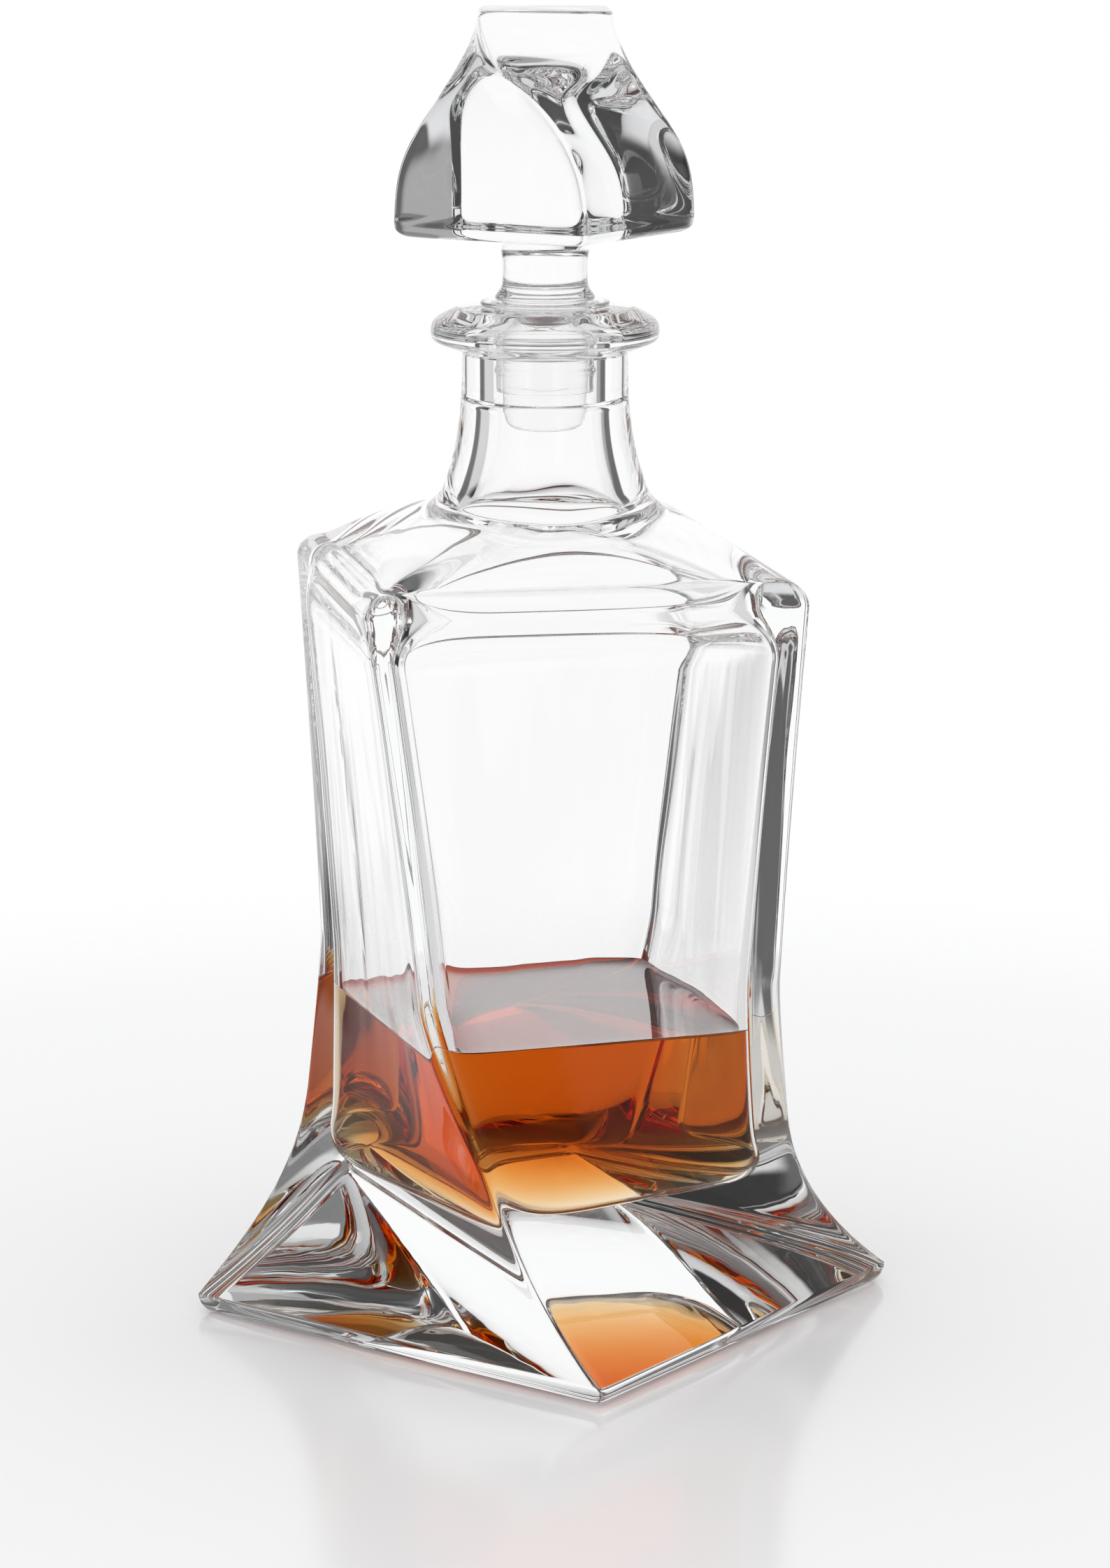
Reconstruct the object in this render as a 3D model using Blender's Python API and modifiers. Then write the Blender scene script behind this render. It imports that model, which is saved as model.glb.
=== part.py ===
"""Square spirit decanter in clear glass, with a body that twists as it rises and a twisted glass stopper.

The body and the stopper head are lofts between squares that turn and change size with height. The shoulder
runs from that turned square into a round neck. Heights are measured from the table, with +Z up.
"""
import math

import bmesh
import bpy

# Foot and side walls, in metres
FOOT_SIDE = 0.1084
FOOT_RIM = 0.004
FOOT_TUCK = 0.0025
WAIST_SIDE = 0.0774
WAIST_HEIGHT = 0.044
SHOULDER_SIDE = 0.0933
SHOULDER_HEIGHT = 0.159
FOOT_CORNER_RADIUS = 0.0015
SHOULDER_CORNER_RADIUS = 0.003

# How the walls curve and turn on the way up
FOOT_FLARE_POWER = 2.09
SHOULDER_SWELL_POWER = 1.41
LOWER_TWIST_DEG = 31.1
LOWER_TWIST_HEIGHT = 0.073
LOWER_TWIST_EASE = 1.35
UPPER_TWIST_DEG = 10.9

# Shoulder, neck and lip
SHOULDER_ROUND = 0.005
SHOULDER_RISE = 0.0116
SHOULDER_CROWN = 0.0012
NECK_BASE_RADIUS = 0.023
NECK_RADIUS = 0.0175
NECK_LENGTH = 0.0317
NECK_FLARE_POWER = 2.6
LIP_RADIUS = 0.0241
LIP_HEIGHT = 0.0098
LIP_EDGE_HEIGHT = 0.0047
LIP_EDGE_ROUND = 0.0028
LIP_EDGE_FROM_DEG = -55.0
LIP_EDGE_TO_DEG = 70.0
LIP_TOP_INSET = 0.0048
LIP_TOP_DROP = 0.0005

# Inside of the body
WALL = 0.0046
FLOOR_THICKNESS = 0.0285
FLOOR_ROUND = 0.008
CAVITY_FLOOR_CORNER_RADIUS = 0.0125
CAVITY_TOP_CORNER_RADIUS = 0.005
CAVITY_CORNER_POWER = 0.6
DOME_BASE_HEIGHT = 0.148
DOME_END_DEG = 70.0
BORE_RADIUS = 0.011
BORE_DEPTH = 0.0195
BORE_STEP = 0.001
MOUTH_ROUND = 0.001
FILL_DEPTH = 0.0367

# Stopper
HEAD_BASE_SIDE = 0.0476
HEAD_TOP_SIDE = 0.0281
HEAD_HEIGHT = 0.0468
HEAD_CORNER_RADIUS = 0.0036
HEAD_BASE_ROUND = 0.0026
HEAD_TOP_ROUND = 0.0013
HEAD_BASE_TURN_DEG = 4.1
HEAD_TWIST_DEG = 56.6
HEAD_TWIST_DELAY = 1.83
HEAD_TWIST_EASE = 1.47
HEAD_TAPER_EASE = 2.14
STEM_RADIUS = 0.0089
STEM_LENGTH = 0.0124
STEM_FILLET = 0.0042
COLLAR_HEIGHT = 0.0012
COLLAR_EDGE = 0.0007
COLLAR_LAP = 0.0012
PLUG_LENGTH = 0.0278
PLUG_TIP_ROUND = 0.004

# Sealing sleeve on the plug
SEAL_WALL = 0.001
SEAL_FLANGE_LAP = 0.0016
SEAL_FLANGE_HEIGHT = 0.001
SEAL_LENGTH = 0.0188
SEAL_RIB_HEIGHT = 0.0004
SEAL_RIB_WIDTH = 0.0016
SEAL_RIBS = 3

# Clearance between pieces that touch, and how finely the surfaces are divided
GAP = 0.0003
CORNER_STEPS = 4
SIDE_STEPS = 4
WALL_STEPS = 19
WALL_STEP_POWER = 1.4
ROUND_STEPS = 3
SHOULDER_STEPS = 5
DOME_STEPS = 7
NECK_STEPS = 7
LIP_EDGE_STEPS = 5
CAVITY_STEPS = 9
FILL_STEPS = 4
HEAD_STEPS = 20
SEAL_STEPS = 32

RING_POINTS = 4 * (CORNER_STEPS + SIDE_STEPS)
NECK_BASE_HEIGHT = SHOULDER_HEIGHT + SHOULDER_ROUND + SHOULDER_RISE
LIP_BASE_HEIGHT = NECK_BASE_HEIGHT + NECK_LENGTH
LIP_TOP_HEIGHT = LIP_BASE_HEIGHT + LIP_HEIGHT
SEAL_FLANGE_TOP = LIP_TOP_HEIGHT + GAP + SEAL_FLANGE_HEIGHT
STOPPER_SEAT = SEAL_FLANGE_TOP + GAP
SEAL_OUTER_RADIUS = BORE_RADIUS - GAP - SEAL_RIB_HEIGHT
SEAL_INNER_RADIUS = SEAL_OUTER_RADIUS - SEAL_WALL
PLUG_RADIUS = SEAL_INNER_RADIUS - GAP


def clamp_share(value):
    return min(max(value, 0.0), 1.0)


def eased_share(share, power):
    """Share that starts and ends slowly, the more so with a higher power."""
    rise = share ** power
    return rise / (rise + (1.0 - share) ** power)


def wall_side(height):
    """Side of the outer square: flared at the foot, drawn in at the waist and swelling to the shoulder."""
    below = clamp_share((WAIST_HEIGHT - height) / (WAIST_HEIGHT - FOOT_RIM))
    above = clamp_share((height - WAIST_HEIGHT) / (SHOULDER_HEIGHT - WAIST_HEIGHT))
    flare = (FOOT_SIDE - WAIST_SIDE) * below ** FOOT_FLARE_POWER
    swell = (SHOULDER_SIDE - WAIST_SIDE) * above ** SHOULDER_SWELL_POWER
    return WAIST_SIDE + flare + swell


def wall_turn(height):
    """Turn of the square in degrees, clockwise from above: quick near the foot, then slow."""
    share = clamp_share((height - FOOT_RIM) / (SHOULDER_HEIGHT - FOOT_RIM))
    lower = clamp_share((height - FOOT_RIM) / LOWER_TWIST_HEIGHT)
    return -LOWER_TWIST_DEG * (1.0 - (1.0 - lower) ** LOWER_TWIST_EASE) - UPPER_TWIST_DEG * share


def wall_corner(height):
    """Corner radius: a crisp edge at the foot that softens a little towards the shoulder."""
    share = clamp_share((height - FOOT_RIM) / (SHOULDER_HEIGHT - FOOT_RIM))
    return FOOT_CORNER_RADIUS + (SHOULDER_CORNER_RADIUS - FOOT_CORNER_RADIUS) * share


def cavity_side(height):
    return wall_side(height) - 2.0 * WALL


def cavity_corner(height):
    """Corner radius of the inner square: large at the floor and small at the top."""
    share = clamp_share((height - FLOOR_THICKNESS) / (DOME_BASE_HEIGHT - FLOOR_THICKNESS))
    change = CAVITY_TOP_CORNER_RADIUS - CAVITY_FLOOR_CORNER_RADIUS
    return CAVITY_FLOOR_CORNER_RADIUS + change * share ** CAVITY_CORNER_POWER


def square_ring(side, corner, turn, height):
    """Rounded square, counter-clockwise from above: four times a corner arc and the flat after it."""
    middle = side / 2.0 - corner
    outline = []
    for quarter in range(4):
        arc = []
        for step in range(CORNER_STEPS + 1):
            angle = math.radians(90.0 * step / CORNER_STEPS)
            arc.append((middle + corner * math.cos(angle), middle + corner * math.sin(angle)))
        flat = []
        for step in range(1, SIDE_STEPS):
            flat.append((middle * (1.0 - 2.0 * step / SIDE_STEPS), side / 2.0))
        facing = math.radians(90.0 * quarter + turn)
        for x, y in arc + flat:
            turned_x = x * math.cos(facing) - y * math.sin(facing)
            turned_y = x * math.sin(facing) + y * math.cos(facing)
            outline.append((turned_x, turned_y, height))
    return outline


def round_ring(radius, turn, height):
    """Circle with its points in step with those of square_ring."""
    first = 45.0 - 180.0 * CORNER_STEPS / RING_POINTS + turn
    outline = []
    for index in range(RING_POINTS):
        angle = math.radians(first + 360.0 * index / RING_POINTS)
        outline.append((radius * math.cos(angle), radius * math.sin(angle), height))
    return outline


def mixed_ring(square, circle, share):
    """Outline on the way from a square to a circle."""
    return [tuple(s + (c - s) * share for s, c in zip(p, q)) for p, q in zip(square, circle)]


def arc_shares():
    """Sine and cosine of the steps of a quarter round, without its two ends."""
    angles = [math.radians(90.0 * step / (ROUND_STEPS + 1)) for step in range(1, ROUND_STEPS + 1)]
    return [(math.sin(angle), math.cos(angle)) for angle in angles]


def loft(name, rings, flip=False):
    """Closed mesh through a chain of outlines, capped flat at both ends."""
    mesh = bpy.data.meshes.new(name)
    shell = bmesh.new()
    rows = [[shell.verts.new(point) for point in ring] for ring in rings]
    for low, high in zip(rows, rows[1:]):
        for index in range(RING_POINTS):
            after = (index + 1) % RING_POINTS
            shell.faces.new((low[index], low[after], high[after], high[index]))
    shell.faces.new(reversed(rows[0]))
    shell.faces.new(rows[-1])
    if flip:
        bmesh.ops.reverse_faces(shell, faces=shell.faces)
    shell.to_mesh(mesh)
    shell.free()
    mesh.shade_smooth()
    mesh.set_sharp_from_angle(angle=math.radians(30.0))
    return mesh


def turned(name, profile, steps):
    """Turned piece: a closed profile of (radius, height) points, swept about Z."""
    mesh = bpy.data.meshes.new(name)
    points = [(radius, 0.0, height) for radius, height in profile]
    edges = [(index, (index + 1) % len(points)) for index in range(len(points))]
    mesh.from_pydata(points, edges, [])
    piece = bpy.data.objects.new(name, mesh)
    screw = piece.modifiers.new("Turn", "SCREW")
    screw.steps = steps
    screw.render_steps = steps
    screw.use_merge_vertices = True
    screw.merge_threshold = 0.00001
    screw.use_smooth_shade = True
    return piece


def finish(name, colour, roughness, transmission, refraction):
    material = bpy.data.materials.new(name)
    material.use_nodes = True
    shader = material.node_tree.nodes["Principled BSDF"]
    shader.inputs["Base Color"].default_value = (*colour, 1.0)
    shader.inputs["Roughness"].default_value = roughness
    shader.inputs["Metallic"].default_value = 0.0
    shader.inputs["Transmission Weight"].default_value = transmission
    shader.inputs["IOR"].default_value = refraction
    return material


def wall_ring(height):
    return square_ring(wall_side(height), wall_corner(height), wall_turn(height), height)


def foot_rings():
    """Rounded rim from the flat underside out to the widest square."""
    rings = []
    for sine, cosine in [(0.0, 1.0)] + arc_shares():
        side = FOOT_SIDE - 2.0 * FOOT_TUCK * (1.0 - sine)
        rings.append(square_ring(side, FOOT_CORNER_RADIUS, 0.0, FOOT_RIM * (1.0 - cosine)))
    return rings


def side_wall_rings():
    """Walls from the rim to the shoulder, with the levels closest together where the foot flares."""
    rings = []
    for step in range(WALL_STEPS + 1):
        share = (step / WALL_STEPS) ** WALL_STEP_POWER
        rings.append(wall_ring(FOOT_RIM + (SHOULDER_HEIGHT - FOOT_RIM) * share))
    return rings


def shoulder_rings():
    """Shoulder from its rounded edge to the foot of the neck."""
    turn = wall_turn(SHOULDER_HEIGHT)
    edge_side = SHOULDER_SIDE - 2.0 * SHOULDER_ROUND
    edge_top = SHOULDER_HEIGHT + SHOULDER_ROUND
    rings = []
    for sine, cosine in arc_shares():
        side = SHOULDER_SIDE - 2.0 * SHOULDER_ROUND * (1.0 - cosine)
        height = SHOULDER_HEIGHT + SHOULDER_ROUND * sine
        rings.append(square_ring(side, SHOULDER_CORNER_RADIUS, turn, height))
    rim = square_ring(edge_side, SHOULDER_CORNER_RADIUS, turn, edge_top)
    neck = round_ring(NECK_BASE_RADIUS, turn, edge_top + SHOULDER_RISE)
    for step in range(SHOULDER_STEPS + 1):
        share = step / SHOULDER_STEPS
        crown = SHOULDER_CROWN * math.sin(math.pi * share)
        rings.append([(x, y, z + crown) for x, y, z in mixed_ring(rim, neck, share)])
    return rings


def dome_rings():
    """Arched roof of the cavity, from the walls up to the foot of the neck's bore."""
    end = math.radians(DOME_END_DEG)
    wall_half = cavity_side(DOME_BASE_HEIGHT) / 2.0
    mouth = NECK_BASE_RADIUS - WALL
    rise = NECK_BASE_HEIGHT - WALL - DOME_BASE_HEIGHT
    rings = []
    for step in range(DOME_STEPS + 1):
        angle = end * step / DOME_STEPS
        reach = (1.0 - math.cos(angle)) / (1.0 - math.cos(end))
        half = wall_half + (mouth - wall_half) * reach
        height = DOME_BASE_HEIGHT + rise * math.sin(angle) / math.sin(end)
        turn = wall_turn(height)
        square = square_ring(2.0 * half, CAVITY_TOP_CORNER_RADIUS, turn, height)
        rings.append(mixed_ring(square, round_ring(half, turn, height), reach))
    return rings


def neck_rings(inset, base_height, top_height, top_radius):
    """Flare from the shoulder up into the neck."""
    turn = wall_turn(SHOULDER_HEIGHT)
    rings = []
    for step in range(1, NECK_STEPS + 1):
        share = step / NECK_STEPS
        spread = (NECK_BASE_RADIUS - inset - top_radius) * (1.0 - share) ** NECK_FLARE_POWER
        rings.append(round_ring(top_radius + spread, turn, base_height + (top_height - base_height) * share))
    return rings


def lip_rings():
    """Flange of the mouth: a rounded outer edge, a sloping top and a flat ring round the bore."""
    turn = wall_turn(SHOULDER_HEIGHT)
    edge_middle = LIP_BASE_HEIGHT + LIP_EDGE_HEIGHT
    edge_span = LIP_EDGE_TO_DEG - LIP_EDGE_FROM_DEG
    profile = []
    for step in range(LIP_EDGE_STEPS + 1):
        angle = math.radians(LIP_EDGE_FROM_DEG + edge_span * step / LIP_EDGE_STEPS)
        radius = LIP_RADIUS - LIP_EDGE_ROUND * (1.0 - math.cos(angle))
        profile.append((radius, edge_middle + LIP_EDGE_ROUND * math.sin(angle)))
    profile.append((LIP_RADIUS - LIP_TOP_INSET, LIP_TOP_HEIGHT - LIP_TOP_DROP))
    profile.append((LIP_RADIUS - LIP_TOP_INSET - MOUTH_ROUND, LIP_TOP_HEIGHT))
    profile.append((BORE_RADIUS + MOUTH_ROUND, LIP_TOP_HEIGHT))
    profile.append((BORE_RADIUS, LIP_TOP_HEIGHT - MOUTH_ROUND))
    profile.append((BORE_RADIUS, LIP_TOP_HEIGHT - BORE_DEPTH))
    return [round_ring(radius, turn, height) for radius, height in profile]


def cavity_ring(height, inset):
    side = cavity_side(height) - 2.0 * inset
    return square_ring(side, cavity_corner(height) - inset, wall_turn(height), height)


def floor_rings(inset):
    """Rounded edge of the cavity floor, from the wall down to the flat, set in for what lies on it."""
    base = FLOOR_THICKNESS + inset
    rings = [cavity_ring(base + FLOOR_ROUND, inset)]
    for sine, cosine in arc_shares() + [(1.0, 0.0)]:
        height = base + FLOOR_ROUND * (1.0 - sine)
        side = cavity_side(height) - 2.0 * (inset + FLOOR_ROUND * (1.0 - cosine))
        rings.append(square_ring(side, cavity_corner(height) - inset, wall_turn(height), height))
    return rings


def fill_levels():
    """Heights of the cavity wall from the fill line down to the rounded floor."""
    bottom = FLOOR_THICKNESS + FLOOR_ROUND
    fill = FLOOR_THICKNESS + FILL_DEPTH
    return [fill + (bottom - fill) * step / FILL_STEPS for step in range(FILL_STEPS)]


def air_levels():
    """Heights of the cavity wall between the arched roof and the fill line."""
    top = DOME_BASE_HEIGHT
    fill = FLOOR_THICKNESS + FILL_DEPTH
    return [top + (fill - top) * step / CAVITY_STEPS for step in range(1, CAVITY_STEPS)]


def decanter_body():
    inner_neck_base = NECK_BASE_HEIGHT - WALL
    bore_base = LIP_TOP_HEIGHT - BORE_DEPTH
    outside = foot_rings() + side_wall_rings() + shoulder_rings()
    outside += neck_rings(0.0, NECK_BASE_HEIGHT, LIP_BASE_HEIGHT, NECK_RADIUS)
    inner_neck = neck_rings(WALL, inner_neck_base, bore_base, BORE_RADIUS + BORE_STEP)
    inside = list(reversed(dome_rings() + inner_neck))
    inside += [cavity_ring(height, 0.0) for height in air_levels() + fill_levels()]
    inside += floor_rings(0.0)
    return loft("decanter_body", outside + lip_rings() + inside)


def spirit_fill():
    """Drink standing in the cavity, clear of the glass all round."""
    rings = [cavity_ring(height, GAP) for height in fill_levels()]
    return loft("spirit_fill", rings + floor_rings(GAP), flip=True)


def head_ring(share, tuck, height):
    """Outline of the head, which narrows and turns mostly in its upper half."""
    taper = eased_share(share, HEAD_TAPER_EASE)
    twist = eased_share(share ** HEAD_TWIST_DELAY, HEAD_TWIST_EASE)
    side = HEAD_BASE_SIDE + (HEAD_TOP_SIDE - HEAD_BASE_SIDE) * taper - 2.0 * tuck
    return square_ring(side, HEAD_CORNER_RADIUS, HEAD_BASE_TURN_DEG - HEAD_TWIST_DEG * twist, height)


def stopper_rings():
    """Plug, stem and twisted head, as one chain of outlines from the plug's tip to the top."""
    tip = -PLUG_LENGTH
    head_base = COLLAR_HEIGHT + STEM_LENGTH
    collar_radius = SEAL_INNER_RADIUS + COLLAR_LAP
    fillet_radius = STEM_RADIUS + STEM_FILLET
    profile = [(PLUG_RADIUS - PLUG_TIP_ROUND, tip)]
    for sine, cosine in arc_shares():
        profile.append((PLUG_RADIUS - PLUG_TIP_ROUND * (1.0 - sine), tip + PLUG_TIP_ROUND * (1.0 - cosine)))
    profile.append((PLUG_RADIUS, tip + PLUG_TIP_ROUND))
    profile.append((PLUG_RADIUS, 0.0))
    profile.append((collar_radius, 0.0))
    profile.append((collar_radius, COLLAR_EDGE))
    profile.append((STEM_RADIUS, COLLAR_HEIGHT + (collar_radius - STEM_RADIUS)))
    profile.append((STEM_RADIUS, head_base - STEM_FILLET))
    for sine, cosine in arc_shares():
        profile.append((fillet_radius - STEM_FILLET * cosine, head_base - STEM_FILLET * (1.0 - sine)))
    profile.append((fillet_radius, head_base))
    rings = [round_ring(radius, HEAD_BASE_TURN_DEG, height) for radius, height in profile]
    for sine, cosine in [(0.0, 1.0)] + arc_shares():
        height = head_base + HEAD_BASE_ROUND * (1.0 - cosine)
        rings.append(head_ring(0.0, HEAD_BASE_ROUND * (1.0 - sine), height))
    wall_base = head_base + HEAD_BASE_ROUND
    wall_top = head_base + HEAD_HEIGHT - HEAD_TOP_ROUND
    for step in range(HEAD_STEPS + 1):
        share = step / HEAD_STEPS
        rings.append(head_ring(share, 0.0, wall_base + (wall_top - wall_base) * share))
    for sine, cosine in arc_shares() + [(1.0, 0.0)]:
        rings.append(head_ring(1.0, HEAD_TOP_ROUND * (1.0 - cosine), wall_top + HEAD_TOP_ROUND * sine))
    return rings


def seal_profile():
    """Half section of the sleeve, from its flange on the lip to the ribs against the bore."""
    base = SEAL_FLANGE_HEIGHT - SEAL_LENGTH
    flange_radius = BORE_RADIUS + MOUTH_ROUND + SEAL_FLANGE_LAP
    profile = [(SEAL_INNER_RADIUS, SEAL_FLANGE_HEIGHT), (flange_radius, SEAL_FLANGE_HEIGHT)]
    profile += [(flange_radius, 0.0), (SEAL_OUTER_RADIUS, 0.0)]
    pitch = SEAL_LENGTH / (SEAL_RIBS + 1)
    for rib in range(1, SEAL_RIBS + 1):
        middle = SEAL_FLANGE_HEIGHT - pitch * rib
        profile.append((SEAL_OUTER_RADIUS, middle + SEAL_RIB_WIDTH / 2.0))
        profile.append((SEAL_OUTER_RADIUS + SEAL_RIB_HEIGHT, middle))
        profile.append((SEAL_OUTER_RADIUS, middle - SEAL_RIB_WIDTH / 2.0))
    profile += [(SEAL_OUTER_RADIUS, base), (SEAL_INNER_RADIUS, base)]
    return profile


def main():
    for leftover in list(bpy.data.objects):
        bpy.data.objects.remove(leftover)
    decanter = bpy.data.collections.new("twisted_spirit_decanter")
    bpy.context.scene.collection.children.link(decanter)

    glass = finish("clear_glass", (0.97, 0.98, 0.98), 0.02, 1.0, 1.52)
    stopper_glass = finish("stopper_glass", (0.97, 0.98, 0.98), 0.02, 1.0, 1.52)
    polymer = finish("clear_polymer", (0.93, 0.94, 0.94), 0.22, 0.9, 1.49)
    spirit = finish("amber_spirit", (0.72, 0.31, 0.03), 0.0, 0.95, 1.36)

    body = bpy.data.objects.new("decanter_body", decanter_body())
    fill = bpy.data.objects.new("spirit_fill", spirit_fill())
    fill.parent = body

    mouth = bpy.data.objects.new("mouth", None)
    mouth.location.z = LIP_TOP_HEIGHT
    seal = turned("stopper_seal", seal_profile(), SEAL_STEPS)
    seal.location.z = GAP
    seal.parent = mouth
    stopper = bpy.data.objects.new("stopper", loft("stopper", stopper_rings()))
    stopper.location.z = STOPPER_SEAT - LIP_TOP_HEIGHT
    stopper.parent = mouth

    for piece, material in ((body, glass), (fill, spirit), (seal, polymer), (stopper, stopper_glass)):
        piece.data.materials.append(material)
        decanter.objects.link(piece)
    decanter.objects.link(mouth)
    bpy.context.view_layer.update()


main()
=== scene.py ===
"""Looks of the twisted spirit decanter: heavy clear glass, an amber drink and a stopper in a clear sleeve."""
import math

import bpy
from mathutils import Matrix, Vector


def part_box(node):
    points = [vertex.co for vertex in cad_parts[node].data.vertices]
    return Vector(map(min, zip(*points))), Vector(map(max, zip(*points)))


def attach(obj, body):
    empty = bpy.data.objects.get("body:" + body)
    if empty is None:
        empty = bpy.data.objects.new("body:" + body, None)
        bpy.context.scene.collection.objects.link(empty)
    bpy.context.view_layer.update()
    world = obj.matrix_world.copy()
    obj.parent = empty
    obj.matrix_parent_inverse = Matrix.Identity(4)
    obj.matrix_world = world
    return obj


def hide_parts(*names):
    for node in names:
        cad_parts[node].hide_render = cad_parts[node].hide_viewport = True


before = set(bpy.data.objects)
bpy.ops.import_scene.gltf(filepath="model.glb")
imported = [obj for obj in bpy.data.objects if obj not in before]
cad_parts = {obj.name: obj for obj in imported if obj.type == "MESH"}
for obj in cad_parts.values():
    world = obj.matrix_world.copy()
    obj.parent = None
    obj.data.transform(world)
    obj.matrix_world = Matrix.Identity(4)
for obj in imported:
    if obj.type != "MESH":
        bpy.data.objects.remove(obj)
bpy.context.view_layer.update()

# Sizes of the glass, in metres, as the frame has them. Powers and eases shape how a size changes with height.
FOOT_SIDE = 0.1084
FOOT_RIM = 0.004
FOOT_TUCK = 0.0025
WAIST_SIDE = 0.0774
WAIST_HEIGHT = 0.044
SHOULDER_SIDE = 0.0933
SHOULDER_HEIGHT = 0.159
FOOT_CORNER_RADIUS = 0.0015
SHOULDER_CORNER_RADIUS = 0.003
FOOT_FLARE_POWER = 2.09
SHOULDER_SWELL_POWER = 1.41
LOWER_TWIST_DEG = 31.1
LOWER_TWIST_HEIGHT = 0.073
LOWER_TWIST_EASE = 1.35
UPPER_TWIST_DEG = 10.9
SHOULDER_ROUND = 0.005
SHOULDER_RISE = 0.0116
SHOULDER_CROWN = 0.0012
NECK_BASE_RADIUS = 0.023
NECK_RADIUS = 0.0175
NECK_FLARE_POWER = 2.6
NECK_BASE_HEIGHT = SHOULDER_HEIGHT + SHOULDER_ROUND + SHOULDER_RISE
LIP_TOP_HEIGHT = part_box("decanter_body")[1][2]
LIP_HEIGHT = 0.0098
LIP_BASE_HEIGHT = LIP_TOP_HEIGHT - LIP_HEIGHT
LIP_RADIUS = 0.0241
WALL = 0.0046
FLOOR_THICKNESS = 0.0285
FLOOR_ROUND = 0.008
CAVITY_FLOOR_CORNER_RADIUS = 0.0125
CAVITY_TOP_CORNER_RADIUS = 0.005
CAVITY_CORNER_POWER = 0.6
DOME_BASE_HEIGHT = 0.148
DOME_END_DEG = 70.0
BORE_RADIUS = 0.011
BORE_DEPTH = 0.0195
BORE_STEP = 0.001
BORE_RUNOUT = 0.0008
FILL_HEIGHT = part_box("spirit_fill")[1][2]
FILL_OVERLAP = 0.00015
MENISCUS_RISE = 0.0012
MENISCUS_REACH = 0.0014
SURFACE_INSETS = (0.0002, 0.0005, 0.001, 0.0016, 0.0024, 0.0034, 0.005, 0.008, 0.014, 0.022, 0.03)
SURFACE_LEAST_CORNER = 0.004
FILL_RIM = FILL_HEIGHT + MENISCUS_RISE

# Sizes of the stopper and its sleeve
STOPPER_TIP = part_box("stopper")[0][2]
STOPPER_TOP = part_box("stopper")[1][2]
HEAD_BASE_SIDE = 0.0476
HEAD_TOP_SIDE = 0.0281
HEAD_HEIGHT = 0.0468
HEAD_BASE_HEIGHT = STOPPER_TOP - HEAD_HEIGHT
HEAD_CORNER_RADIUS = 0.0036
HEAD_BASE_ROUND = 0.0026
HEAD_TOP_ROUND = 0.0013
HEAD_BASE_TURN_DEG = 4.1
HEAD_TWIST_DEG = 56.6
HEAD_TWIST_DELAY = 1.83
HEAD_TWIST_EASE = 1.47
HEAD_TAPER_EASE = 2.14
STEM_RADIUS = 0.0089
STEM_FILLET = 0.0042
COLLAR_RADIUS = 0.0105
PLUG_RADIUS = 0.009
PLUG_TIP_ROUND = 0.004
SEAT_GAP = 0.0003
SEAL_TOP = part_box("stopper_seal")[1][2]
SEAL_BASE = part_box("stopper_seal")[0][2]
SEAL_FLANGE_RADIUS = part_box("stopper_seal")[1][0]
SEAL_FLANGE_HEIGHT = 0.001
SEAL_OUTER_RADIUS = 0.0103
SEAL_INNER_RADIUS = 0.0093
SEAL_RIB_HEIGHT = 0.0004
SEAL_RIB_WIDTH = 0.0016
SEAL_RIBS = 3

# Camera, fitted to the foot, the outline, the lip and the stopper in the photograph
IMAGE_WIDTH = 1588
IMAGE_HEIGHT = 2244
CAMERA_AZIMUTH_DEG = 36.35
CAMERA_REACH = 1.0138
CAMERA_HEIGHT = 0.3253
CAMERA_PITCH_DEG = 11.745
FOCAL_PIXELS = 6905.0
AXIS_PIXEL_X = 779.75
SENSOR_HEIGHT = 36.0

# Meshes: points round each ring, rings along each curve, and how steep a face may be to count as level
RING_POINTS = 208
SLEEVE_RING_POINTS = 120
BODY_CORNER_GATHER = 0.8
DRINK_CORNER_GATHER = 0.7
STOPPER_CORNER_GATHER = 0.6
WALL_RING_POWER = 1.3
WALL_STEPS = 120
SHOULDER_STEPS = 22
NECK_STEPS = 26
BEND_STEPS = 14
BEND_SHOULDER_STEPS = 4
BEND_NECK_STEPS = 2
INNER_NECK_STEPS = 20
DOME_STEPS = 24
DRY_WALL_STEPS = 60
WET_WALL_STEPS = 24
DRINK_WALL_STEPS = 26
FLOOR_STEPS = 10
HEAD_STEPS = 90
HEAD_TOP_STEPS = 6
ROUND_STEPS = 8
GLASS_SOFT_ROUNDS = 3
SLEEVE_SOFT_ROUNDS = 2
UNDERSIDE_SHARES = (0.25, 0.6, 0.9, 0.985)
FLOOR_SHARES = (0.8, 0.5, 0.2)
HEAD_FLAT_SHARES = (0.3, 0.6, 0.9)
LEAST_RADIUS = 1e-5
WELD_DISTANCE = 2e-6
FLOOR_FACE_UP = 0.99
SURFACE_FACE_UP = 0.3

# Glass, drink and sleeve: how they mirror, bend and colour light, and how often light is passed on inside
GLASS_SHEEN = (0.35, 0.35, 0.35)
GLASS_INDEX = 1.52
SPIRIT_INDEX = 1.36
SURFACE_COAT_INDEX = 1.7
SLEEVE_INDEX = 1.34
GLASS_TINT = (0.90, 0.95, 0.96)
GLASS_TINT_DENSITY = 1.2
SPIRIT_TINT = (0.945, 0.60, 0.012)
SPIRIT_TINT_DENSITY = 74.0
GLASS_BOUNCES = 48

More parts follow.
